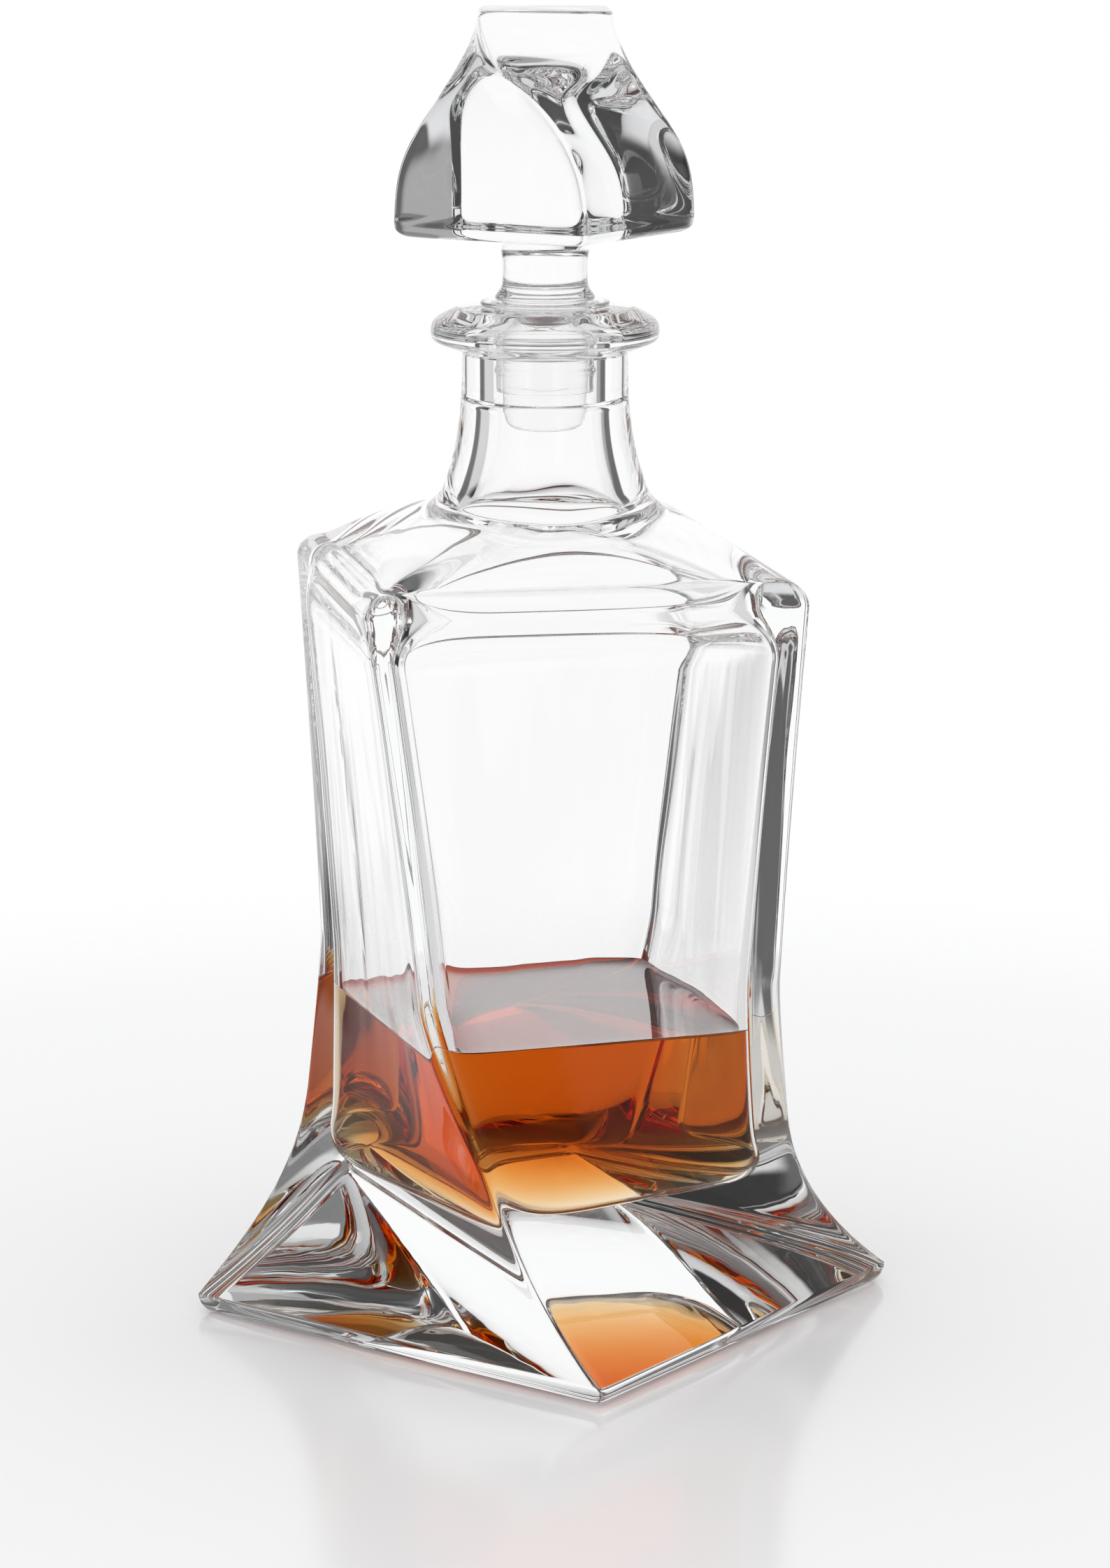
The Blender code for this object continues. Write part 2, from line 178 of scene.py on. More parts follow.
# Unevenness of pressed glass: scale, upright stretch and depth, weak in the foot and from the shoulder up
BODY_WAVES = (70.0, 7.0, 0.00045)
STOPPER_WAVES = (60.0, 2.0, 0.0007)
WAVE_FOOT_HEIGHTS = (0.030, 0.075)
WAVE_SHOULDER_HEIGHTS = (0.120, 0.152)
WEAK_WAVE_SHARE = 0.12

# Table
TABLE_COLOUR = (0.93, 0.933, 0.945)
TABLE_ROUGHNESS = 0.16
TABLE_RADIUS = 0.42
TABLE_FADE_START = 0.26
TABLE_SIDES = 96
TABLE_GAP = 0.0002

# Studio that the glass mirrors: bearings from the middle of its backdrop, levels of light with white as 1,
# and pairs between which a level changes as a direction points more upward, aside or ahead
STUDIO_TURN_DEG = 8.0
BACKDROP_EDGE_DEG = 36.0
BACKDROP_END_DEG = 40.0
SIDE_START_DEG = 50.0
SIDE_EDGE_DEG = 56.0
SIDE_END_DEG = 105.0
REAR_EDGE_DEG = 125.0
GAP_LEVEL = 0.12
SIDE_LEVEL_LEFT = 0.65
SIDE_LEVEL_RIGHT = 0.4
UPPER_SIDE_LEVEL_LEFT = 0.03
UPPER_SIDE_LEVEL_RIGHT = 0.22
REAR_LEVEL = 0.06
TOP_LEVEL_AHEAD = 0.7
TOP_LEVEL_REAR = 0.06
STRIP_BEARINGS_DEG = (84.0, 150.0)
STRIP_HALF_WIDTH_DEG = 7.0
STRIP_LEVEL = 0.8
STRIP_CORE_SHARE = 0.8
STRIP_END_UP = (0.2, 0.26)
UPPER_SIDE_UP = (0.15, 0.25)
CEILING_UP = (0.6, 0.75)
LEFT_TO_RIGHT = (-0.3, 0.3)
REAR_TO_AHEAD = (-0.3, 0.3)

# How far in from each side the middle of a rounded corner lies, as a share of its radius
CORNER_CUT = 1.0 - math.sqrt(0.5)


def clamp_share(value):
    return min(max(value, 0.0), 1.0)


def eased_share(share, power):
    """Share of a change that starts slowly, is quickest half way and ends slowly."""
    rise = share ** power
    return rise / (rise + (1.0 - share) ** power)


def quarter_round(steps):
    """Sine and cosine through a quarter turn, both ends included."""
    angles = [math.pi / 2.0 * step / steps for step in range(steps + 1)]
    return [(math.sin(angle), math.cos(angle)) for angle in angles]


def spread(first, last, steps):
    return [first + (last - first) * step / steps for step in range(steps + 1)]


def soften(points, rounds):
    """Cut the corners of a chain of (radius, height) points until it reads as a curve, with its ends kept."""
    for _ in range(rounds):
        cut = [points[0]]
        for first, second in zip(points, points[1:]):
            cut.append(tuple(0.75 * a + 0.25 * b for a, b in zip(first, second)))
            cut.append(tuple(0.25 * a + 0.75 * b for a, b in zip(first, second)))
        points = cut + [points[-1]]
    return points


def square_station(side, corner, turn, height):
    """One outline: a square with that corner radius, as half its side, squareness, turn and height."""
    half = max(side / 2.0, LEAST_RADIUS)
    corner = min(corner, half)
    return (half, -1.0 / math.log2(1.0 - CORNER_CUT * corner / half), math.radians(turn), height)


def round_station(radius, height, turn=0.0):
    return (max(radius, LEAST_RADIUS), 2.0, math.radians(turn), height)


def wall_side(height):
    """Side of the outer square: flared at the foot, drawn in at the waist and swelling to the shoulder."""
    below = clamp_share((WAIST_HEIGHT - height) / (WAIST_HEIGHT - FOOT_RIM))
    above = clamp_share((height - WAIST_HEIGHT) / (SHOULDER_HEIGHT - WAIST_HEIGHT))
    flare = (FOOT_SIDE - WAIST_SIDE) * below ** FOOT_FLARE_POWER
    swell = (SHOULDER_SIDE - WAIST_SIDE) * above ** SHOULDER_SWELL_POWER
    return WAIST_SIDE + flare + swell


def wall_turn(height):
    """Turn of the square in degrees, quick near the foot and then slow up to the shoulder."""
    share = clamp_share((height - FOOT_RIM) / (SHOULDER_HEIGHT - FOOT_RIM))
    lower = clamp_share((height - FOOT_RIM) / LOWER_TWIST_HEIGHT)
    return -LOWER_TWIST_DEG * (1.0 - (1.0 - lower) ** LOWER_TWIST_EASE) - UPPER_TWIST_DEG * share


def wall_corner(height):
    share = clamp_share((height - FOOT_RIM) / (SHOULDER_HEIGHT - FOOT_RIM))
    return FOOT_CORNER_RADIUS + (SHOULDER_CORNER_RADIUS - FOOT_CORNER_RADIUS) * share


NECK_TURN_DEG = wall_turn(SHOULDER_HEIGHT)


def foot_stations():
    """Flat underside from its middle out, then the rounded rim."""
    under = FOOT_SIDE - 2.0 * FOOT_TUCK
    stations = [round_station(0.0, 0.0)]
    for share in UNDERSIDE_SHARES:
        stations.append(square_station(under * share, FOOT_CORNER_RADIUS, 0.0, 0.0))
    for sine, cosine in quarter_round(ROUND_STEPS)[:-1]:
        side = FOOT_SIDE - 2.0 * FOOT_TUCK * (1.0 - sine)
        stations.append(square_station(side, FOOT_CORNER_RADIUS, 0.0, FOOT_RIM * (1.0 - cosine)))
    return stations


def side_wall_stations(steps):
    stations = []
    for step in range(steps + 1):
        height = FOOT_RIM + (SHOULDER_HEIGHT - FOOT_RIM) * (step / steps) ** WALL_RING_POWER
        stations.append(square_station(wall_side(height), wall_corner(height), wall_turn(height), height))
    return stations


def shoulder_stations(steps):
    """Shoulder from its rounded edge to the foot of the neck."""
    corner = SHOULDER_CORNER_RADIUS
    stations = []
    for sine, cosine in quarter_round(ROUND_STEPS)[1:-1]:
        side = SHOULDER_SIDE - 2.0 * SHOULDER_ROUND * (1.0 - cosine)
        height = SHOULDER_HEIGHT + SHOULDER_ROUND * sine
        stations.append(square_station(side, corner, NECK_TURN_DEG, height))
    edge_side = SHOULDER_SIDE - 2.0 * SHOULDER_ROUND
    edge_height = SHOULDER_HEIGHT + SHOULDER_ROUND
    for step in range(steps + 1):
        share = step / steps
        width = edge_side + (2.0 * NECK_BASE_RADIUS - edge_side) * share
        radius = corner + (NECK_BASE_RADIUS - corner) * share
        height = edge_height + SHOULDER_RISE * share + SHOULDER_CROWN * math.sin(math.pi * share)
        stations.append(square_station(width, radius, NECK_TURN_DEG, height))
    return stations


def dome_stations(steps):
    """Arched roof of the cavity, from the walls up to the foot of the neck's bore."""
    end = math.radians(DOME_END_DEG)
    wall_half = cavity_side(DOME_BASE_HEIGHT) / 2.0
    mouth = NECK_BASE_RADIUS - WALL
    rise = NECK_BASE_HEIGHT - WALL - DOME_BASE_HEIGHT
    stations = []
    for step in range(steps + 1):
        angle = end * step / steps
        reach = (1.0 - math.cos(angle)) / (1.0 - math.cos(end))
        half = wall_half + (mouth - wall_half) * reach
        corner = CAVITY_TOP_CORNER_RADIUS + (half - CAVITY_TOP_CORNER_RADIUS) * reach
        height = DOME_BASE_HEIGHT + rise * math.sin(angle) / math.sin(end)
        stations.append(square_station(2.0 * half, corner, wall_turn(height), height))
    return stations


def neck_stations(base_radius, base_height, top_radius, top_height, steps):
    stations = []
    for step in range(1, steps + 1):
        share = step / steps
        radius = top_radius + (base_radius - top_radius) * (1.0 - share) ** NECK_FLARE_POWER
        height = base_height + (top_height - base_height) * share
        stations.append(round_station(radius, height, NECK_TURN_DEG))
    return stations


def lip_stations():
    """Thick rounded flange, its sloping top and the bore that the sleeve sits in, as one softened profile."""
    top = LIP_TOP_HEIGHT
    base = LIP_BASE_HEIGHT
    outline = [
        (NECK_RADIUS, base + 0.0001),
        (NECK_RADIUS + 0.0006, base + 0.0008),
        (LIP_RADIUS - 0.0012, base + 0.0024),
        (LIP_RADIUS, base + 0.0034),
        (LIP_RADIUS, base + 0.0062),
        (LIP_RADIUS - 0.0012, base + 0.0077),
        (LIP_RADIUS - 0.0048, top - 0.0004),
        (LIP_RADIUS - 0.0060, top),
        (BORE_RADIUS + 0.0012, top),
        (BORE_RADIUS, top - 0.0002),
        (BORE_RADIUS, top - 0.0016),
        (BORE_RADIUS, top - BORE_DEPTH + 0.0006),
        (BORE_RADIUS, top - BORE_DEPTH),
        (BORE_RADIUS + 0.5 * BORE_STEP, top - BORE_DEPTH - 0.0004),
    ]
    profile = soften(outline, GLASS_SOFT_ROUNDS)
    return [round_station(radius, height, NECK_TURN_DEG) for radius, height in profile]


def cavity_side(height):
    return wall_side(height) - 2.0 * WALL


def cavity_corner(height):
    """Corner radius of the inner square, large at the floor and small at the top."""
    share = clamp_share((height - FLOOR_THICKNESS) / (DOME_BASE_HEIGHT - FLOOR_THICKNESS))
    change = CAVITY_TOP_CORNER_RADIUS - CAVITY_FLOOR_CORNER_RADIUS
    return CAVITY_FLOOR_CORNER_RADIUS + change * share ** CAVITY_CORNER_POWER


def cavity_station(height, inset):
    side = cavity_side(height) - 2.0 * inset
    return square_station(side, cavity_corner(height) - inset, wall_turn(height), height)


def floor_stations(inset, steps):
    """Rounded edge of the cavity floor and the flat, ending at its middle."""
    base = FLOOR_THICKNESS + inset
    stations = []
    for sine, cosine in quarter_round(steps):
        height = base + FLOOR_ROUND * (1.0 - sine)
        side = cavity_side(height) - 2.0 * inset - 2.0 * FLOOR_ROUND * (1.0 - cosine)
        stations.append(square_station(side, cavity_corner(height) - inset, wall_turn(height), height))
    flat_side = 2.0 * stations[-1][0]
    for share in FLOOR_SHARES:
        stations.append(square_station(flat_side * share, CAVITY_FLOOR_CORNER_RADIUS, wall_turn(base), base))
    stations.append(round_station(0.0, base))
    return stations


def bend_stations(before, corner, after, steps):
    """Smooth bend between two stations, in place of the corner that lies between them."""
    bend = []
    for share in spread(0.0, 1.0, steps)[1:-1]:
        rest = 1.0 - share
        columns = zip(before, corner, after)
        bend.append(tuple(rest * (rest * a + 2.0 * share * b) + share * share * c for a, b, c in columns))
    return bend


def body_stations():
    """The whole glass skin, from the middle of the underside up over the lip and down to the cavity floor."""
    shoulder = shoulder_stations(SHOULDER_STEPS)
    neck = neck_stations(NECK_BASE_RADIUS, NECK_BASE_HEIGHT, NECK_RADIUS, LIP_BASE_HEIGHT, NECK_STEPS)
    neck_foot = shoulder[-1]
    shoulder = shoulder[:-BEND_SHOULDER_STEPS]
    neck = neck[BEND_NECK_STEPS:]
    stations = foot_stations() + side_wall_stations(WALL_STEPS) + shoulder
    stations += bend_stations(shoulder[-1], neck_foot, neck[0], BEND_STEPS) + neck
    stations += lip_stations()
    bore_base = LIP_TOP_HEIGHT - BORE_DEPTH - BORE_RUNOUT
    inner = dome_stations(DOME_STEPS)
    mouth_radius = NECK_BASE_RADIUS - WALL
    mouth_height = NECK_BASE_HEIGHT - WALL
    inner += neck_stations(mouth_radius, mouth_height, BORE_RADIUS + BORE_STEP, bore_base, INNER_NECK_STEPS)
    stations += reversed(inner)
    walls = spread(DOME_BASE_HEIGHT, FILL_RIM, DRY_WALL_STEPS)
    walls += spread(FILL_RIM, FLOOR_THICKNESS + FLOOR_ROUND, WET_WALL_STEPS)[1:]
    stations += [cavity_station(height, 0.0) for height in walls[1:-1]]
    return stations + floor_stations(0.0, FLOOR_STEPS)


def fill_stations():
    """Drink in the cavity: it wets the glass all round and climbs a little where it meets the wall."""
    inset = -FILL_OVERLAP
    stations = list(reversed(floor_stations(inset, FLOOR_STEPS)))
    walls = spread(FLOOR_THICKNESS + inset + FLOOR_ROUND, FILL_RIM, DRINK_WALL_STEPS)
    stations += [cavity_station(height, inset) for height in walls[1:]]
    full = cavity_side(FILL_RIM) - 2.0 * inset
    for reach in SURFACE_INSETS:
        climb = MENISCUS_RISE * math.exp(-reach / MENISCUS_REACH)
        corner = max(cavity_corner(FILL_RIM) - reach, SURFACE_LEAST_CORNER)
        stations.append(square_station(full - 2.0 * reach, corner, wall_turn(FILL_RIM), FILL_HEIGHT + climb))
    return stations + [round_station(0.0, FILL_HEIGHT)]


def head_station(share, tuck, height):
    taper = eased_share(share, HEAD_TAPER_EASE)
    twist = eased_share(share ** HEAD_TWIST_DELAY, HEAD_TWIST_EASE)
    side = HEAD_BASE_SIDE + (HEAD_TOP_SIDE - HEAD_BASE_SIDE) * taper - 2.0 * tuck
    return square_station(side, HEAD_CORNER_RADIUS, HEAD_BASE_TURN_DEG - HEAD_TWIST_DEG * twist, height)


def stopper_stations():
    """Plug, collar, stem and twisted head, from the plug's tip to the middle of the top."""
    seat = SEAL_TOP + SEAT_GAP
    outline = [
        (0.0, STOPPER_TIP),
        (0.5 * PLUG_RADIUS, STOPPER_TIP),
        (PLUG_RADIUS - 0.3 * PLUG_TIP_ROUND, STOPPER_TIP + 0.1 * PLUG_TIP_ROUND),
        (PLUG_RADIUS, STOPPER_TIP + PLUG_TIP_ROUND),
        (PLUG_RADIUS, seat - 0.0012),
        (PLUG_RADIUS, seat),
        (COLLAR_RADIUS - 0.0002, seat),
        (COLLAR_RADIUS, seat + 0.0002),
        (COLLAR_RADIUS, seat + 0.0008),
        (STEM_RADIUS + 0.0003, seat + 0.0024),
        (STEM_RADIUS, seat + 0.0042),
        (STEM_RADIUS, HEAD_BASE_HEIGHT - STEM_FILLET),
        (STEM_RADIUS + 0.3 * STEM_FILLET, HEAD_BASE_HEIGHT - 0.3 * STEM_FILLET),
        (STEM_RADIUS + STEM_FILLET, HEAD_BASE_HEIGHT),
    ]
    profile = soften(outline, GLASS_SOFT_ROUNDS)
    stations = [round_station(radius, height, HEAD_BASE_TURN_DEG) for radius, height in profile]
    inner_side = 2.0 * (STEM_RADIUS + STEM_FILLET)
    under_side = HEAD_BASE_SIDE - 2.0 * HEAD_BASE_ROUND
    for share in HEAD_FLAT_SHARES:
        side = inner_side + (under_side - inner_side) * share
        corner = side / 2.0 + (HEAD_CORNER_RADIUS - side / 2.0) * share
        stations.append(square_station(side, corner, HEAD_BASE_TURN_DEG, HEAD_BASE_HEIGHT))
    for sine, cosine in quarter_round(ROUND_STEPS)[:-1]:
        height = HEAD_BASE_HEIGHT + HEAD_BASE_ROUND * (1.0 - cosine)
        stations.append(head_station(0.0, HEAD_BASE_ROUND * (1.0 - sine), height))
    wall_base = HEAD_BASE_HEIGHT + HEAD_BASE_ROUND
    wall_top = STOPPER_TOP - HEAD_TOP_ROUND
    for share in spread(0.0, 1.0, HEAD_STEPS):
        stations.append(head_station(share, 0.0, wall_base + (wall_top - wall_base) * share))
    for sine, cosine in quarter_round(HEAD_TOP_STEPS)[1:]:
        stations.append(head_station(1.0, HEAD_TOP_ROUND * (1.0 - cosine), wall_top + HEAD_TOP_ROUND * sine))
    top_side = HEAD_TOP_SIDE - 2.0 * HEAD_TOP_ROUND
    top_turn = HEAD_BASE_TURN_DEG - HEAD_TWIST_DEG
    for share in reversed(HEAD_FLAT_SHARES):
        stations.append(square_station(top_side * share, HEAD_CORNER_RADIUS * share, top_turn, STOPPER_TOP))
    return stations + [round_station(0.0, STOPPER_TOP)]


def seal_stations():
    """Sleeve from the inside of its flange, out over it, down the ribs and back up the bore of the sleeve."""
    flange_base = SEAL_TOP - SEAL_FLANGE_HEIGHT
    outline = [
        (SEAL_INNER_RADIUS, SEAL_TOP - 0.0004),
        (SEAL_INNER_RADIUS + 0.0003, SEAL_TOP),
        (SEAL_FLANGE_RADIUS - 0.0003, SEAL_TOP),
        (SEAL_FLANGE_RADIUS, SEAL_TOP - 0.0003),
        (SEAL_FLANGE_RADIUS, flange_base + 0.0003),
        (SEAL_FLANGE_RADIUS - 0.0003, flange_base),
        (SEAL_OUTER_RADIUS + 0.0003, flange_base),
        (SEAL_OUTER_RADIUS, flange_base - 0.0004),
    ]
    pitch = (SEAL_TOP - SEAL_BASE) / (SEAL_RIBS + 1)
    for rib in range(1, SEAL_RIBS + 1):
        middle = SEAL_TOP - pitch * rib
        outline.append((SEAL_OUTER_RADIUS, middle + SEAL_RIB_WIDTH / 2.0))
        outline.append((SEAL_OUTER_RADIUS + SEAL_RIB_HEIGHT, middle + SEAL_RIB_WIDTH / 6.0))
        outline.append((SEAL_OUTER_RADIUS + SEAL_RIB_HEIGHT, middle - SEAL_RIB_WIDTH / 6.0))
        outline.append((SEAL_OUTER_RADIUS, middle - SEAL_RIB_WIDTH / 2.0))
    outline += [
        (SEAL_OUTER_RADIUS, SEAL_BASE + 0.0003),
        (SEAL_OUTER_RADIUS - 0.0003, SEAL_BASE),
        (SEAL_INNER_RADIUS + 0.0002, SEAL_BASE),
        (SEAL_INNER_RADIUS, SEAL_BASE + 0.0003),
    ]
    outline.append(outline[0])
    profile = soften(outline, SLEEVE_SOFT_ROUNDS)
    stations = [round_station(radius, height) for radius, height in profile]
    return list(reversed(stations))


def calc(tree, operation, *terms):
    """Math node on sockets or plain numbers."""
    node = tree.nodes.new("ShaderNodeMath")
    node.operation = operation
    for socket, term in zip(node.inputs, terms):
        if isinstance(term, (int, float)):
            socket.default_value = term
        else:
            tree.links.new(term, socket)
    return node.outputs[0]


def along(tree, direction, axis):
    """How far a direction points along an axis."""
    node = tree.nodes.new("ShaderNodeVectorMath")
    node.operation = "DOT_PRODUCT"
    tree.links.new(direction, node.inputs[0])
    node.inputs[1].default_value = axis
    return node.outputs["Value"]


def remap(tree, value, low, high, first, last):
    """Smooth step between two values."""
    node = tree.nodes.new("ShaderNodeMapRange")
    node.interpolation_type = "SMOOTHSTEP"
    tree.links.new(value, node.inputs["Value"])
    for name, number in (("From Min", low), ("From Max", high), ("To Min", first), ("To Max", last)):
        node.inputs[name].default_value = number
    return node.outputs["Result"]


def between(tree, share, first, last):
    """Level part way from a first to a last level."""
    return calc(tree, "MULTIPLY_ADD", calc(tree, "SUBTRACT", last, first), share, first)


def section_loft_tree():
    """Geometry Nodes loft: a grid is wrapped round Z, each row taking its outline from one station."""
    tree = bpy.data.node_groups.new("Turned section loft", "GeometryNodeTree")
    face = tree.interface
    face.new_socket("Stations", in_out="INPUT", socket_type="NodeSocketGeometry")
    face.new_socket("Ring Points", in_out="INPUT", socket_type="NodeSocketInt")
    face.new_socket("Corner Gather", in_out="INPUT", socket_type="NodeSocketFloat")
    face.new_socket("Weld Distance", in_out="INPUT", socket_type="NodeSocketFloat")
    face.new_socket("Finish", in_out="INPUT", socket_type="NodeSocketMaterial")
    face.new_socket("Piece", in_out="OUTPUT", socket_type="NodeSocketGeometry")
    nodes = tree.nodes
    link = tree.links.new
    given = nodes.new("NodeGroupInput")

    count = nodes.new("GeometryNodeAttributeDomainSize")
    link(given.outputs["Stations"], count.inputs["Geometry"])
    stations = count.outputs["Point Count"]
    last = calc(tree, "SUBTRACT", stations, 1.0)
    grid = nodes.new("GeometryNodeMeshGrid")
    grid.inputs["Size X"].default_value = 1.0
    link(last, grid.inputs["Size Y"])
    link(calc(tree, "ADD", given.outputs["Ring Points"], 1.0), grid.inputs["Vertices X"])
    link(stations, grid.inputs["Vertices Y"])

    place = nodes.new("ShaderNodeSeparateXYZ")
    link(nodes.new("GeometryNodeInputPosition").outputs[0], place.inputs[0])
    row = calc(tree, "ROUND", calc(tree, "MULTIPLY_ADD", last, 0.5, place.outputs["Y"]))
    lap = calc(tree, "MULTIPLY", calc(tree, "ADD", place.outputs["X"], 0.5), math.tau)

    outline = {}
    for name in ("half_side", "squareness", "turn", "height"):
        named = nodes.new("GeometryNodeInputNamedAttribute")
        named.data_type = "FLOAT"
        named.inputs["Name"].default_value = name
        sample = nodes.new("GeometryNodeSampleIndex")
        sample.data_type = "FLOAT"
        sample.domain = "POINT"
        link(given.outputs["Stations"], sample.inputs["Geometry"])
        link(named.outputs["Attribute"], sample.inputs["Value"])
        link(row, sample.inputs["Index"])
        outline[name] = sample.outputs["Value"]

    # The points draw together at the four corners, where the outline bends.
    sway = calc(tree, "SINE", calc(tree, "MULTIPLY", lap, 4.0))
    gather = calc(tree, "MULTIPLY", given.outputs["Corner Gather"], 0.25)
    angle = calc(tree, "MULTIPLY_ADD", sway, gather, lap)
    power = outline["squareness"]
    x_part = calc(tree, "POWER", calc(tree, "ABSOLUTE", calc(tree, "COSINE", angle)), power)
    y_part = calc(tree, "POWER", calc(tree, "ABSOLUTE", calc(tree, "SINE", angle)), power)
    root = calc(tree, "POWER", calc(tree, "ADD", x_part, y_part), calc(tree, "DIVIDE", 1.0, power))
    radius = calc(tree, "DIVIDE", outline["half_side"], root)
    facing = calc(tree, "ADD", angle, outline["turn"])
    point = nodes.new("ShaderNodeCombineXYZ")
    link(calc(tree, "MULTIPLY", radius, calc(tree, "COSINE", facing)), point.inputs["X"])
    link(calc(tree, "MULTIPLY", radius, calc(tree, "SINE", facing)), point.inputs["Y"])
    link(outline["height"], point.inputs["Z"])

    wrap = nodes.new("GeometryNodeSetPosition")
    link(grid.outputs["Mesh"], wrap.inputs["Geometry"])
    link(point.outputs[0], wrap.inputs["Position"])
    weld = nodes.new("GeometryNodeMergeByDistance")
    link(wrap.outputs[0], weld.inputs["Geometry"])
    link(given.outputs["Weld Distance"], weld.inputs["Distance"])
    smooth = nodes.new("GeometryNodeSetShadeSmooth")
    link(weld.outputs[0], smooth.inputs[0])
    real = nodes.new("GeometryNodeRealizeInstances")
    link(smooth.outputs[0], real.inputs[0])
    paint = nodes.new("GeometryNodeSetMaterial")
    link(real.outputs[0], paint.inputs["Geometry"])
    link(given.outputs["Finish"], paint.inputs["Material"])
    link(paint.outputs[0], nodes.new("NodeGroupOutput").inputs["Piece"])
    return tree


LOFT_TREE = section_loft_tree()


def loft(name, stations, ring_points, corner_gather, finish):
    """Run the loft tree over a chain of stations and keep the result as a plain mesh."""
    chain = bpy.data.meshes.new(name + "_stations")
    chain.from_pydata([(0.0, 0.0, height) for _, _, _, height in stations], [], [])
    for column, attribute in enumerate(("half_side", "squareness", "turn", "height")):
        values = chain.attributes.new(attribute, "FLOAT", "POINT")
        values.data.foreach_set("value", [station[column] for station in stations])
    guide = bpy.data.objects.new(name + "_guide", chain)
    bpy.context.scene.collection.objects.link(guide)
    maker = guide.modifiers.new("Loft", "NODES")
    maker.node_group = LOFT_TREE
    wanted = {
        "Ring Points": ring_points,
        "Corner Gather": corner_gather,
        "Weld Distance": WELD_DISTANCE,
        "Finish": finish,
    }
    for item in LOFT_TREE.interface.items_tree:
        if item.in_out == "INPUT" and item.name in wanted:
            maker[item.identifier] = wanted[item.name]
    bpy.context.view_layer.update()
    shown = guide.evaluated_get(bpy.context.evaluated_depsgraph_get())
    mesh = bpy.data.meshes.new_from_object(shown)
    mesh.name = name
    guide.modifiers.clear()
    bpy.data.objects.remove(guide)
    bpy.data.meshes.remove(chain)
    piece = bpy.data.objects.new(name, mesh)
    bpy.context.scene.collection.objects.link(piece)
    return piece


def principled(name):
    material = bpy.data.materials.new(name)
    material.use_nodes = True
    return material, material.node_tree, material.node_tree.nodes["Principled BSDF"]


def waves(tree, scale, stretch):
    """Slow unevenness in object space, drawn out upright and weak in the foot and from the shoulder up."""
    place = tree.nodes.new("ShaderNodeTexCoord")
    axes = tree.nodes.new("ShaderNodeSeparateXYZ")
    drawn = tree.nodes.new("ShaderNodeMapping")
    drawn.inputs["Scale"].default_value = (1.0, 1.0, 1.0 / stretch)
    noise = tree.nodes.new("ShaderNodeTexNoise")
    noise.inputs["Scale"].default_value = scale
    noise.inputs["Detail"].default_value = 1.0
    tree.links.new(place.outputs["Object"], drawn.inputs["Vector"])
    tree.links.new(drawn.outputs["Vector"], noise.inputs["Vector"])
    tree.links.new(place.outputs["Object"], axes.inputs["Vector"])
    above_foot = remap(tree, axes.outputs["Z"], *WAVE_FOOT_HEIGHTS, WEAK_WAVE_SHARE, 1.0)
    below_shoulder = remap(tree, axes.outputs["Z"], *WAVE_SHOULDER_HEIGHTS, 1.0, WEAK_WAVE_SHARE)
    share = calc(tree, "MULTIPLY", above_foot, below_shoulder)
    return calc(tree, "MULTIPLY", noise.outputs["Fac"], share)


def ripple(tree, shader, height, depth):
    """Very shallow bump of pressed glass."""
    bump = tree.nodes.new("ShaderNodeBump")
    bump.inputs["Strength"].default_value = 1.0
    bump.inputs["Distance"].default_value = depth
    tree.links.new(height, bump.inputs["Height"])
    tree.links.new(bump.outputs["Normal"], shader.inputs["Normal"])


def tint(tree, colour, density):
    """Even colour inside the piece."""
    absorb = tree.nodes.new("ShaderNodeVolumeAbsorption")
    absorb.inputs["Color"].default_value = (*colour, 1.0)
    absorb.inputs["Density"].default_value = density
    tree.links.new(absorb.outputs[0], tree.nodes["Material Output"].inputs["Volume"])


def clear_glass(name, index, wave_scale, wave_stretch, wave_depth):
    """Clear glass that bends light by the index and is faintly uneven."""
    material, tree, shader = principled(name)
    shader.inputs["Base Color"].default_value = (1.0, 1.0, 1.0, 1.0)
    shader.inputs["Roughness"].default_value = 0.0
    shader.inputs["IOR"].default_value = index
    shader.inputs["Specular Tint"].default_value = (*GLASS_SHEEN, 1.0)
    shader.inputs["Transmission Weight"].default_value = 1.0
    ripple(tree, shader, waves(tree, wave_scale, wave_stretch), wave_depth)
    tint(tree, GLASS_TINT, GLASS_TINT_DENSITY)
    return material


def amber_spirit(name, index, coat):
    """Amber drink. The coat makes its open surface mirror more."""
    material, tree, shader = principled(name)
    shader.inputs["Base Color"].default_value = (1.0, 1.0, 1.0, 1.0)
    shader.inputs["Roughness"].default_value = 0.0
    shader.inputs["IOR"].default_value = index
    shader.inputs["Transmission Weight"].default_value = 1.0
    shader.inputs["Coat Weight"].default_value = coat
    shader.inputs["Coat Roughness"].default_value = 0.0
    shader.inputs["Coat IOR"].default_value = SURFACE_COAT_INDEX
    tint(tree, SPIRIT_TINT, SPIRIT_TINT_DENSITY)
    return material


def clear_polymer():
    material, _, shader = principled("clear_polymer")
    shader.inputs["Base Color"].default_value = (1.0, 1.0, 1.0, 1.0)
    shader.inputs["Roughness"].default_value = 0.0
    shader.inputs["Specular Tint"].default_value = (*GLASS_SHEEN, 1.0)
    shader.inputs["IOR"].default_value = SLEEVE_INDEX
    shader.inputs["Transmission Weight"].default_value = 1.0
    return material


def is_wet_glass(face):
    """True on the inside of the glass below the rim of the drink."""
    leans_in = face.normal.x * face.center.x + face.normal.y * face.center.y < 0.0
    return face.center.z < FILL_RIM and (leans_in or face.normal.z > FLOOR_FACE_UP)


def is_drink_at_glass(face):
    """True on the sides and the underside of the drink."""
    return face.normal.z < SURFACE_FACE_UP


